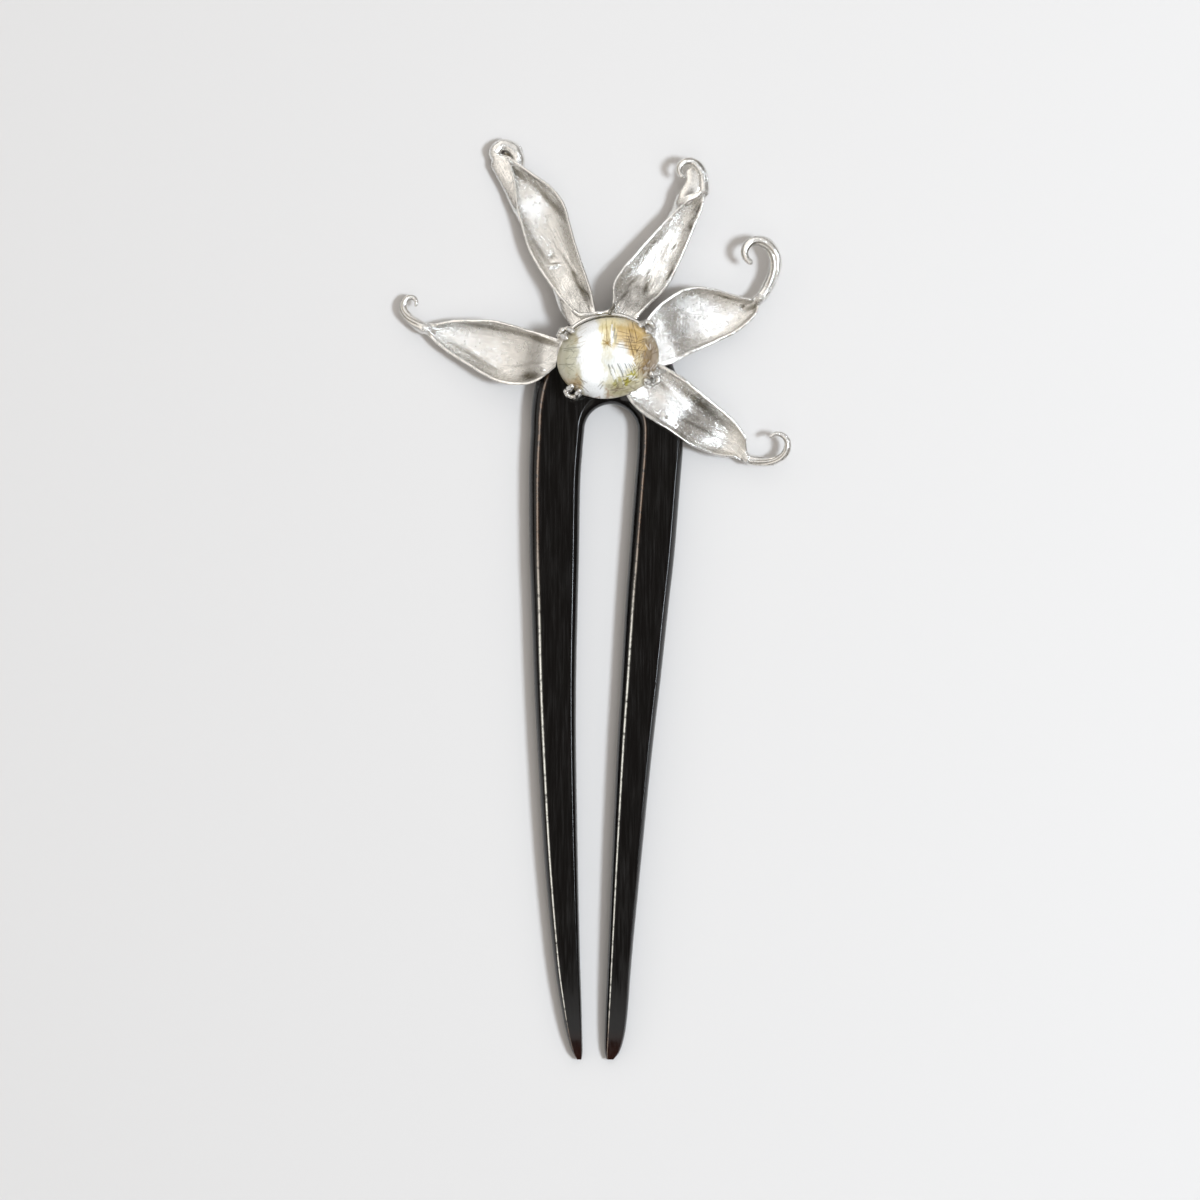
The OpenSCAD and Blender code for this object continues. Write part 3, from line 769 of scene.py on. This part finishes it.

# Where the quartz changes colour, as seen from above, two zones being painted highlight: x, y, half
# size along x and along y, turn, sharpness, share, colour
stoneZones = [
    [-6.4, -0.4, 2.2, 5.2, 0, 1.2, 0.85, (0.60, 0.58, 0.44)],
    [-5.0, 4.3, 3.0, 1.5, 20, 1.2, 0.7, (0.56, 0.50, 0.33)],
    [-5.4, -4.1, 1.4, 0.8, -40, 1.2, 0.85, (0.45, 0.31, 0.15)],
    [0.1, 4.2, 2.0, 2.4, 0, 1.6, 0.95, (0.88, 0.76, 0.42)],
    [3.8, 2.6, 2.5, 3.3, 0, 1.6, 0.95, (0.60, 0.40, 0.14)],
    [6.8, 0.2, 1.6, 4.4, -6, 1.5, 0.97, (0.25, 0.18, 0.11)],
    # a pale milky fan, partly a painted highlight where the key lamp's glint falls
    [1.7, -0.4, 1.9, 2.3, -18, 1.8, 0.9, (0.88, 0.89, 0.87)],
    [3.4, -3.3, 1.3, 0.6, 24, 2.0, 0.9, (0.40, 0.36, 0.03)],
    [1.5, -4.0, 0.9, 0.4, 10, 1.6, 0.75, (0.38, 0.34, 0.07)],
    [1.8, -5.0, 3.2, 0.8, 10, 1.6, 0.8, (0.38, 0.33, 0.18)],
    # a white band down the left of the dome: the painted reflection of the left strip lamp
    [-2.6, 0.0, 2.0, 9.0, 5, 2.6, 1.0, (1.0, 1.0, 0.98)],
    [-1.2, -6.25, 2.2, 0.2, 2, 1.2, 0.7, (0.30, 0.13, 0.05)],
]

# Bundles of needles in the quartz: how many, x, y, spread along x and y, direction, spread of
# direction, length, half width, strength, kind
stoneNeedles = [
    [24, 0.1, 3.9, 1.5, 1.3, 93, 10, 2.0, 0.05, 0.8, "gold"],
    [5, 0.6, 3.4, 0.2, 0.9, 88, 6, 1.8, 0.12, 1.0, "pale"],
    [6, 1.1, 3.1, 0.3, 0.9, 86, 10, 1.7, 0.08, 1.0, "grey"],
    [12, 3.7, 2.8, 0.9, 1.8, 98, 10, 2.8, 0.05, 1.0, "dark"],
    [14, 3.2, 2.4, 1.3, 1.5, -6, 9, 2.6, 0.045, 1.0, "dark"],
    [34, 4.9, 0.2, 1.0, 2.6, 70, 50, 1.3, 0.05, 0.9, "dark"],
    [16, 5.2, 0.4, 1.0, 3.0, 60, 50, 1.0, 0.09, 0.7, "gold"],
    [22, 6.8, 0.0, 0.8, 3.0, 80, 60, 1.0, 0.08, 0.6, "dark"],
    [14, 6.6, 0.2, 0.9, 3.0, 70, 60, 0.9, 0.08, 0.35, "pale"],
    [12, 1.2, -2.5, 1.0, 1.1, -70, 7, 1.9, 0.08, 0.95, "grey"],
    [10, 1.3, -2.5, 1.0, 1.1, -70, 8, 1.8, 0.09, 1.0, "pale"],
    [10, 3.0, -1.6, 0.9, 0.8, -64, 8, 1.4, 0.07, 1.0, "slate"],
    [10, 3.0, -1.5, 0.9, 0.8, -64, 9, 1.5, 0.08, 1.0, "pale"],
    [16, -0.15, 2.1, 0.12, 0.12, 90, 90, 1.6, 0.05, 0.9, "gold"],
    [14, 3.5, -3.5, 1.3, 0.6, 25, 25, 1.3, 0.06, 0.9, "dark"],
    [6, 3.8, -3.2, 0.8, 0.4, 30, 25, 0.8, 0.08, 0.8, "pale"],
    [22, 1.6, -4.9, 2.8, 0.6, 15, 45, 1.1, 0.07, 0.7, "dark"],
    [8, -6.1, 0.1, 0.7, 1.5, 3, 8, 2.2, 0.05, 0.95, "grey"],
    [30, -6.0, -0.6, 1.1, 3.4, 10, 60, 0.7, 0.06, 0.5, "grey"],
    [12, -4.8, 3.0, 1.0, 1.6, 25, 20, 1.6, 0.05, 0.7, "gold"],
    [8, -4.6, -4.3, 1.4, 0.7, -30, 25, 1.4, 0.06, 0.8, "dark"],
]
needleColours = {
    "dark": (0.09, 0.045, 0.015),
    "gold": (0.33, 0.20, 0.05),
    "grey": (0.16, 0.16, 0.13),
    "slate": (0.05, 0.055, 0.06),
    "pale": (1.0, 1.0, 0.98),
}


def stoneColours(x, y):
    # Each zone mixes its colour in by the share 1 / (1 + d^(4 sharpness)), d being the distance
    # from its middle in half sizes. Each needle mixes the needle colour in by
    # strength * exp(-(distance from its line / half width)^2).
    warpX, warpY = x, y
    for far, size, seed in quartzLook["warps"]:
        warpX = warpX + far * ripple(x, y, size, seed)
        warpY = warpY + far * ripple(x, y, size, seed + 1)
    colour = np.zeros(x.shape + (3,)) + quartzLook["colour"]
    for middleX, middleY, halfX, halfY, turn, sharp, share, zone in stoneZones:
        c, s = towards(turn)
        across = ((warpX - middleX) * c + (warpY - middleY) * s) / halfX
        along = ((warpY - middleY) * c - (warpX - middleX) * s) / halfY
        part = share / (1 + (across**2 + along**2) ** (2 * sharp))
        colour = mix(colour, np.array(zone), part[..., None])
    rng = np.random.default_rng(quartzLook["needleSeed"])
    for many, middleX, middleY, spreadX, spreadY, turn, fan, long, wide, strength, kind in stoneNeedles:
        for k in range(many):
            startX = middleX + spreadX * rng.uniform(-1, 1)
            startY = middleY + spreadY * rng.uniform(-1, 1)
            c, s = towards(turn + fan * rng.uniform(-1, 1))
            along = (x - startX) * c + (y - startY) * s
            half = long / 2 * rng.uniform(0.5, 1.2)
            past = np.maximum(np.abs(along) - half, 0)
            off = np.hypot((y - startY) * c - (x - startX) * s, past)
            part = strength * rng.uniform(0.4, 1) * np.exp(-((off / wide) ** 2))
            colour = mix(colour, np.array(needleColours[kind]), part[..., None])
    return quartzLook["shade"] * colour


def makeQuartz():
    look = quartzLook
    material, tree, shader = newMaterial("quartz")
    streaks = noise(tree, placeInMm(tree, look["streakLengthwise"]), look["streakSize"], 3.0, 0.6)
    share = ramp(tree, streaks, *look["streakRange"], 0.0, look["streakShare"])
    base = mixColour(tree, share, readMark(tree, "zone", "Color"), look["streakColour"])
    setInputs(tree, shader, {"Base Color": base, **look["shader"]})
    return material


quartz = makeQuartz()


def makeStone():
    # Rings of the dome from the girdle up, below them a girdle rounded by girdleCurve of its width
    # and the flat underside
    size = stoneSize
    angle = anglesRound(size["aroundSteps"])
    dome = domePoint(angle, np.linspace(0, size["topRise"], size["riseSteps"])[:, None])
    part = np.linspace(0, 1, size["girdleSteps"])[:, None]
    share = 1 - size["girdleCurve"] * (1 - quarterCircle(part))
    c, s = towards(angle).T
    height = mix(heights["stoneBottom"], heights["girdle"], part)
    low = joined(share * size["halfLength"] * c, share * size["halfWidth"] * s, height)
    rings = turned(np.concatenate([low[:-1], dome]), size["turn"])
    piece = makeSkin("cabochon", rings, quartz)
    # the colours, painted highlights among them, are kept on the points
    colours = np.ones(rings.shape[:2] + (4,), np.float32)
    colours[..., :3] = stoneColours(rings[..., 0], rings[..., 1])
    data = piece.data.attributes.new("zone", "FLOAT_COLOR", "POINT").data
    data.foreach_set("color", colours.ravel())
    return piece


stone = makeStone()
print("stone made")

settingSize = {
    "galleryOffset": (-0.2, 0.77),
    "galleryHalf": (7.5, 6.1),
    "galleryRadius": 0.45,
    "plateShare": 0.76,
    "plateBottom": 4.46,
    "plateThickness": 0.9,
    "plateBevel": (0.03, 0.08),
    "clawAngles": (36, 136, 222, 320),
    "clawSpread": 5.8,
    "clawRises": (0, 10, 20, 29),
    "clawFoot": 0.62,
    "clawSink": 0.2,
    "clawTip": 0.46,
    "clawBase": 0.6,
    "clawGap": 0.04,
    "saddleRadius": 0.42,
    "saddleReach": 1.35,
    "saddleGap": 0.25,
    "saddleBulge": 0.55,
    "saddleRise": 0.5,
    "saddleDip": 0.3,
    "wireSides": 28,
    "clawWaver": 0.05,
    "saddleWaver": 0.12,
    "galleryWaver": 0.06,
}


def makeClaw(name, angle, seed):
    # A tube along the way from the foot on the plate past the girdle and onto the dome
    size = settingSize
    steps = 70
    lift = size["clawTip"] + size["clawGap"]
    foot = domePoint(angle, 0) * size["clawFoot"]
    foot[2] = heights["plateTop"] - size["clawSink"]
    onDome = domePoint(angle, np.array(size["clawRises"]), lift)
    elbow = [*onDome[0, :2], heights["gallery"]]
    path = smoothPath([foot, elbow, *onDome], steps)
    radius = np.linspace(size["clawBase"], size["clawTip"], steps)
    radius = radius * waver(size["clawWaver"], 6, steps, seed)
    rings = turned(tubeRings(path, radius, size["wireSides"]), stoneSize["turn"])
    return makeSkin(name, rings, silver, evenMarks(rings, hollow=0.15, worked=0.3))


def makeSaddle(name, angle, seed):
    # The wire that joins the two tips of a claw: an arc round the girdle from one to the other. It
    # stands off by gap + bulge * cos a, with a from -90 to 90 degrees, and dips by a share of that.
    size = settingSize
    steps = 40
    reach = size["clawSpread"] * size["saddleReach"]
    off = size["saddleGap"] + size["saddleBulge"] * np.cos(np.linspace(-np.pi / 2, np.pi / 2, steps))
    path = domePoint(angle + np.linspace(-reach, reach, steps), 0)
    path[:, :2] += unit(path[:, :2]) * (off + size["saddleRadius"])[:, None]
    path[:, 2] += size["saddleRise"] - size["saddleDip"] * off
    radius = size["saddleRadius"] * waver(size["saddleWaver"], 6, steps, seed)
    rings = turned(tubeRings(path, radius, size["wireSides"]), stoneSize["turn"])
    return makeSkin(name, rings, silver, evenMarks(rings, hollow=0.25, worked=0.3))


for i, middle in enumerate(settingSize["clawAngles"]):
    name = f"claw_{i + 1}_"
    for side, letter in ((-1, "a"), (1, "b")):
        angle = middle + side * settingSize["clawSpread"]
        silverPieces.append(makeClaw(name + letter, angle, 60 + 2 * i + side))
    silverPieces.append(makeSaddle(name + "saddle", middle, 80 + i))


# Solder and wire between the pods and the gallery: points with height and radius, and tarnish
trims = {
    "collar": ([[-5.6, 7.7, 6.3, 0.35], [-4.5, 6.9, 6.9, 0.4], [-3.0, 7.0, 7.1, 0.36],
                [-1.5, 7.15, 7.1, 0.34], [0.2, 7.4, 6.9, 0.4], [1.2, 7.9, 6.6, 0.3]], 0.1),
    "hook": ([[0.9, 8.7, 6.2, 0.24], [0.75, 8.0, 6.9, 0.28], [0.3, 7.4, 7.3, 0.3],
              [0.35, 6.8, 7.3, 0.24]], 0.9),
    "solder_bead": ([[3.0, -5.6, 7.4, 0.3], [3.3, -5.5, 7.8, 0.36], [3.5, -5.5, 7.6, 0.3]], 0.1),
}


def makeTrim(name, points, tarnishAndShade):
    # A tube whose radius changes along the way, from the fourth column
    steps = 80
    path = smoothPath(points, steps)
    rings = tubeRings(path[:, :3], path[:, 3] * waver(0.08, 8, steps, 91))
    return makeSkin(name, rings, silver, evenMarks(rings, hollow=tarnishAndShade))


silverPieces += [makeTrim(name, *trim) for name, trim in trims.items()]


def makeGallery():
    # A closed oval ring of wire: the tube's circle carried round the oval
    size = settingSize
    around, sides = np.linspace(0, 360, 241), 32
    lumps = ripple(np.radians(around)[:, None] * 6, 0, 3.0, 71)
    out = size["galleryRadius"] * (1 + size["galleryWaver"] * lumps)
    c, s = towards(anglesRound(sides)).T
    x, y = ((half + out * c) * way[:, None] for half, way in zip(size["galleryHalf"], towards(around).T))
    rings = turned(joined(x, y, heights["gallery"] + out * s), stoneSize["turn"])
    rings += [*size["galleryOffset"], 0]
    return makeSkin("gallery", rings, silver)


def makePlate():
    # An oval disc with a small bevel round its bottom and its top, as rings of a share of its
    # width and a height
    size = settingSize
    inset, rise = size["plateBevel"]
    thick = size["plateThickness"]
    sides = 128
    low = [[0.02, 0], [1 - inset, 0], [1, rise]]
    rows = np.array(low + [[share, thick - height] for share, height in low[::-1]])
    c, s = towards(anglesRound(sides)).T
    share = rows[:, :1] * size["plateShare"]
    x, y = share * stoneSize["halfLength"] * c, share * stoneSize["halfWidth"] * s
    rings = turned(joined(x, y, size["plateBottom"] + rows[:, 1:]), stoneSize["turn"])
    return makeSkin("plate", rings, silver)


silverPieces += [makeGallery(), makePlate()]
print("setting made")

forkSize = {
    "thickness": 4.4,
    "tipThickness": 1.5,
    "headHalfWidth": 12.15,
    "headMiddle": -0.15,
    "headReach": 19,
    "headPower": 2.2,
    "slotMiddle": 0.5,
    "slotRadius": 4.25,
    "edgePower": 2.5,
    "sharpCut": 1.35,
    "leftCut": 1.2,
    "sharpBlend": 0.008,
    "leftBlend": 0.03,
    "leftFrom": 0.1,
    "leftBand": 0.25,
    "ridgeWidth": 0.03,
    "aroundSteps": 144,
    "headSteps": 140,
    "prongSteps": 130,
    "tipSteps": 90,
    "tipRow": 9,
    # y, left outer edge, left inner edge, right inner edge, right outer edge, share of thickness
    "rows": [
        [-11.3, -12.3, -3.75, 4.75, 12.0, 1],
        [-15, -12.5, -4.1, 4.65, 11.9, 1],
        [-20, -12.6, -4.4, 4.25, 11.5, 1],
        [-31, -12.5, -4.6, 3.4, 10.6, 0.99],
        [-39, -12.2, -4.8, 2.8, 9.7, 0.97],
        [-51, -11.8, -5.05, 2.1, 8.4, 0.95],
        [-63, -11.2, -5.05, 1.4, 7.0, 0.92],
        [-79, -10.2, -4.8, 0.65, 5.4, 0.86],
        [-95, -8.7, -4.45, 0, 3.85, 0.72],
        [-103, -7.5, -4.2, -0.35, 3.25, 0.58],
        [-107.5, -6.6, -4.1, -0.5, 2.7, 0.42],
        [-110.3, -5.75, -4.05, -0.5, 1.9, 0.2],
        [-111.6, -5.0, -4.2, -0.2, 0.95, 0],
    ],
}

# tipFade and where the painted highlight starts and ends are stretches along the prongs: mm from the
# frame's origin
hornLook = {
    "colour": (0.0035, 0.003, 0.0028, 1),
    "edge": (0.16, 0.09, 0.05, 1),
    # the next colour is a painted white highlight on the ridges
    "highlight": (0.95, 0.9, 0.78, 1),
    "tip": (0.02, 0.005, 0.003, 1),
    "tipFade": (-68.5, -74.0),
    "highlightStart": (10.0, -8.0),
    "highlightEnd": (-69.0, -64.0),
    "patchSize": 1.2,
    "patchRange": (0.3, 0.52),
    "streakSize": 3.0,
    "streakRange": (0.35, 0.7),
    "streakLengthwise": 0.05,
    "streakMm": 0.003,
    "roughLow": 0.08,
    "roughHigh": 0.26,
    "shader": {"IOR": 1.48, "Coat IOR": 2.2, "Coat Roughness": 0.12},
}


def makeHorn():
    look = hornLook
    material, tree, shader = newMaterial("horn")
    here = placeInMm(tree)
    y = addNode(tree, "ShaderNodeSeparateXYZ", {0: here}).outputs["Y"]
    base = mixColour(tree, ramp(tree, y, *look["tipFade"]), look["colour"], look["tip"])
    # The ridge colour lies only on left-facing ridges, where the lamps put the highlight: dull brown
    # wear near the head, and below, down to near the tips, a painted white highlight
    patchy = ramp(tree, noise(tree, here, look["patchSize"], 3.0), *look["patchRange"])
    wornAndHighlight = calc(tree, "MULTIPLY", readMark(tree, "ridge"), patchy)
    lower = calc(tree, "MULTIPLY", ramp(tree, y, *look["highlightStart"]), ramp(tree, y, *look["highlightEnd"]))
    streaks = noise(tree, placeInMm(tree, look["streakLengthwise"]), look["streakSize"], 4.0, 0.6)
    setInputs(tree, shader, {
        "Base Color": mixColour(tree, wornAndHighlight, base, mixColour(tree, lower, look["edge"], look["highlight"])),
        "Roughness": ramp(tree, streaks, *look["streakRange"], look["roughLow"], look["roughHigh"]),
        "Normal": bump(tree, streaks, look["streakMm"]),
        "Coat Weight": readMark(tree, "ridge"),
        **look["shader"],
    })
    return material


horn = makeHorn()


def makeFork():
    # A ring at each place along the U-shaped way from the left tip round the head to the right
    # tip. Across it runs from the outer edge to the inner edge. The ring is the curve
    # |x|^p + |y|^p = 1, grown in height by cut, and kept under 1 with a soft corner:
    # 1 - (1 + e - y)^2 / (4 e) where y is within e of 1. The head's outer edge is such a curve too.
    size = forkSize
    rows = np.array(size["rows"], float)
    tipPlaces = np.linspace(len(rows) - 1, size["tipRow"], size["tipSteps"], endpoint=False)
    prongPlaces = np.linspace(size["tipRow"], 0, size["prongSteps"], endpoint=False)
    row = rowAt(rows, np.concatenate([tipPlaces, prongPlaces]))
    back = row[::-1]
    angle = np.linspace(180, 0, size["headSteps"])
    c, s = raised(towards(angle), 2 / size["headPower"]).T
    headX = size["headMiddle"] + size["headHalfWidth"] * c
    headOuter = np.stack([headX, rows[0, 0] + size["headReach"] * s], -1)
    headInner = [size["slotMiddle"], rows[0, 0]] + size["slotRadius"] * towards(angle)
    outer = np.concatenate([row[:, [1, 0]], headOuter, back[:, [4, 0]]])[:, None]
    inner = np.concatenate([row[:, [2, 0]], headInner, back[:, [3, 0]]])[:, None]
    share = np.concatenate([row[:, 5], np.ones(len(angle)), back[:, 5]])
    thick = mix(size["tipThickness"], size["thickness"], share)[:, None]
    c, s = towards(anglesRound(size["aroundSteps"])).T
    # leftness is how far the side that a point is on faces left
    leftness = np.clip(-np.sign(c) * unit(inner - outer)[..., 0], 0, 1)
    isLeft = eased(0.5 + (leftness - size["leftFrom"]) / size["leftBand"])
    cut = mix(size["sharpCut"], size["leftCut"], isLeft)
    up = cut * np.abs(s) ** (2 / size["edgePower"])
    e = mix(size["sharpBlend"], size["leftBlend"], leftness)
    soft = np.where(up < 1 - e, up, 1 - np.clip(1 + e - up, 0, 2 * e) ** 2 / (4 * e))
    soft = np.where(up > 1 + e, 1.0, soft) * np.sign(s)
    flat = (outer + inner) / 2 + (inner - outer) / 2 * raised(c, 2 / size["edgePower"])[:, None]
    rings = np.concatenate([flat, (thick / 2 * (1 + soft))[..., None]], axis=-1)
    # the ridge mark is only on left-facing sides, where the horn's colour paints its highlight
    ridge = leftness * np.exp(-(((up - 1) / size["ridgeWidth"]) ** 2)) * (s > 0)
    return makeSkin("prongs", rings, horn, {"ridge": ridge})


fork = makeFork()
print("fork made")

studio = {
    "floor": {"Base Color": (0.649, 0.629, 0.611, 1), "Roughness": 0.9, "Specular IOR Level": 0.1},
    "floorHalf": 3000.0,
    "floorDrop": 0.02,
    "world": (0.092, 0.08, 0.068, 1),
    "cameraAt": (0.866, -0.18, 650.0),
    "frameWidth": 192.0,
    # direction the lamp leans in and its angle from straight up, distance, slide across that
    # way, width that way and length across it in mm, how bright the lamp's face is, colour,
    # and what it does: it is seen in shiny things, it lights dull ones, or both
    "lights": {
        "leftStrip": (0, -26, 1000, 600, 560, 4400, 1.24, (1.04, 1.0, 0.95), "seen"),
        "rightStrip": (0, 16, 1000, 600, 300, 4400, 0.78, (1.02, 1.0, 0.98), "both"),
        "farFill": (90, 55, 1100, 0, 700, 1800, 0.65, (1.0, 0.99, 0.97), "both"),
        "topFill": (90, 19, 1000, 0, 280, 340, 1.05, (1.0, 1.0, 1.0), "both"),
        "lowFill": (-90, 24, 1000, 0, 280, 340, 0.7, (1.0, 1.0, 1.0), "both"),
        "leftFill": (180, 62, 1100, 0, 500, 2000, 0.65, (1.04, 1.0, 0.95), "both"),
        "rightFill": (-6, 56, 1100, 0, 500, 1800, 0.42, (1.04, 1.0, 0.95), "both"),
        "key": (-6, 30, 1000, 0, 200, 200, 26, (0.89, 0.98, 1.08), "both"),
        "above": (0, 0, 1000, 0, 2400, 2400, 0.33, (1.02, 1.0, 0.98), "lights"),
        "keySoft": (-6, 30, 1000, 0, 200, 200, 38, (0.89, 0.98, 1.08), "lights"),
    },
}


def makeFloor():
    far = studio["floorHalf"] * metresPerMm
    low = -studio["floorDrop"] * metresPerMm
    corners = [(-far, -far, low), (far, -far, low), (far, far, low), (-far, far, low)]
    mesh = bpy.data.meshes.new("floor")
    mesh.from_pydata(corners, [], [(0, 1, 2, 3)])
    material, tree, shader = newMaterial("floor")
    setInputs(tree, shader, studio["floor"])
    mesh.materials.append(material)
    addObject("floor", mesh)


def makeLights():
    # A lamp's power is pi * width * length * brightness of its face; one as wide as long is round
    for name, (way, lean, far, slide, width, length, bright, colour, does) in studio["lights"].items():
        data = bpy.data.lights.new(name, "AREA")
        data.shape = "ELLIPSE" if width == length else "RECTANGLE"
        data.size, data.size_y = width * metresPerMm, length * metresPerMm
        data.energy = np.pi * data.size * data.size_y * bright
        data.color = colour
        light = addObject(name, data)
        across, up = far * np.sin(np.radians(lean)), far * np.cos(np.radians(lean))
        spot = np.append(across * towards(way) + slide * towards(way + 90), up)
        light.location = (spot * metresPerMm).tolist()
        light.rotation_euler = (0, np.radians(lean), np.radians(way))
        light.visible_glossy = does != "lights"
        light.visible_diffuse = does != "seen"
    world = bpy.data.worlds.new("studio")
    world.use_nodes = True
    world.node_tree.nodes["Background"].inputs["Color"].default_value = studio["world"]
    bpy.context.scene.world = world


def makeCamera():
    # Straight down, as the photo was taken; frameWidth is what it sees at the floor
    data = bpy.data.cameras.new("camera")
    place = np.array(studio["cameraAt"])
    data.lens = data.sensor_width * place[2] / studio["frameWidth"]
    data.clip_start, data.clip_end = 0.01, 10
    camera = addObject("camera", data)
    camera.location = (place * metresPerMm).tolist()
    bpy.context.scene.camera = camera


makeFloor()
makeLights()
makeCamera()
bpy.context.scene.view_settings.view_transform = "Standard"

for piece in silverPieces:
    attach(piece, "root")
    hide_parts("silver_spray")
for piece, node, slot in ((stone, "stone", "quartz"), (fork, "fork", "horn")):
    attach(piece, "root")
    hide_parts(node)
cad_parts["peg"].data.materials.clear()
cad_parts["peg"].data.materials.append(silver)
